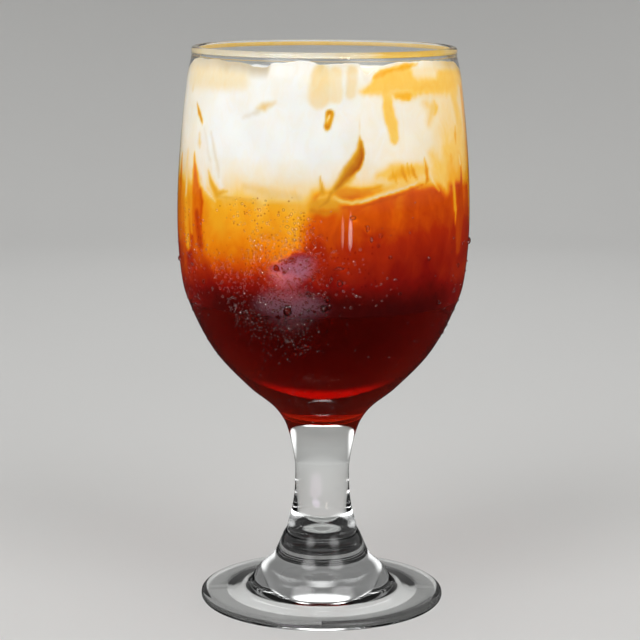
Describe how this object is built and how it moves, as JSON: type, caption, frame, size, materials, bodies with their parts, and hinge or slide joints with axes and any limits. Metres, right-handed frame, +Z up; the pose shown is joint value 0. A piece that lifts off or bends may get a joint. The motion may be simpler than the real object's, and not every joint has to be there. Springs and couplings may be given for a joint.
{
  "type": "thai iced tea in a stemmed goblet",
  "caption": "Stemmed clear glass goblet of iced milk tea: dark tea below, an amber blend, milk on top, and ice standing out of the milk.",
  "frame": {"origin": "centre of the foot's resting ring, on the surface that the goblet stands on", "axes": "+Z up along the stem; -Y towards the viewer of the picture, +X to that viewer's right"},
  "size_m": [0.0896, 0.0896, 0.172],
  "materials": {
    "clear_glass": "clear pressed glass, fire polished, with beads of condensation",
    "dark_tea": "clear dark red liquid",
    "amber_tea": "cloudy amber liquid",
    "milk": "opaque milk with streaks of tea",
    "ice": "wet, slightly cloudy ice tinted by milk and tea"
  },
  "bodies": {
    "root": {"goblet": "clear_glass", "tea": "dark_tea", "amber_blend": "amber_tea", "milk": "milk", "ice_left": "ice", "ice_centre": "ice", "ice_right": "ice", "ice_back_left": "ice", "ice_back_right": "ice"}
  },
  "joints": []
}
